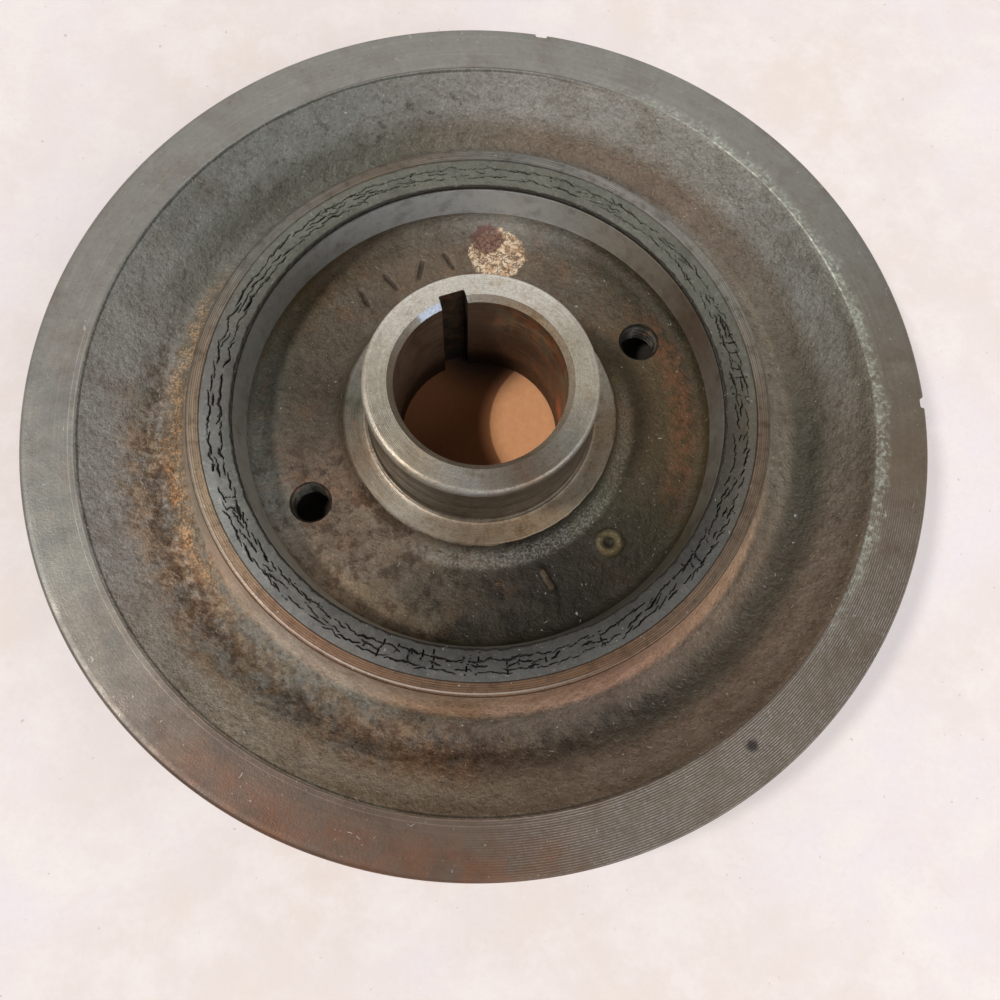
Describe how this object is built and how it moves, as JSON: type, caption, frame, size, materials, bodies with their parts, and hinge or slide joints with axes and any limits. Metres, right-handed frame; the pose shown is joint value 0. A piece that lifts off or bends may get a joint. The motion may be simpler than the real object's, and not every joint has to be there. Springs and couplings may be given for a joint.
{
  "type": "v belt pulley",
  "caption": "Crankshaft V-belt pulley with a rubber-bonded damper ring, a keyed hub bore, a raised seal nose and tapped puller holes.",
  "frame": {"origin": "on the pulley's axis, in the plane of the front faces that the part lies on", "axes": "+Z along the axis from the front side to the rear side, out of the nose; +X and +Y square to it, with the keyway 114.5 degrees round from +X"},
  "size_m": [0.172, 0.172, 0.0289],
  "materials": {
    "hub_iron": "as-cast web and bright machined nose, worn",
    "rubber": "matte, weathered and cracked",
    "ring_iron": "turned rim, as-cast dish, lightly rusted"
  },
  "bodies": {
    "hub": {"hub": "hub_iron"},
    "rubber": {"damper_rubber": "rubber"},
    "ring": {"pulley_ring": "ring_iron"}
  },
  "joints": [
    {"name": "ring_twist", "type": "hinge", "parent": "hub", "child": "ring", "pos_m": [0, 0, 0.0095], "axis": [0, 0, 1], "range_deg": [-1.5, 1.5], "stiffness_Nm_per_rad": 5500},
    {"name": "rubber_shear", "type": "hinge", "parent": "hub", "child": "rubber", "pos_m": [0, 0, 0.0095], "axis": [0, 0, 1], "range_deg": [-0.75, 0.75]}
  ],
  "couplings": [
    {"joint": "rubber_shear", "follows": "ring_twist", "ratio": 0.5}
  ]
}
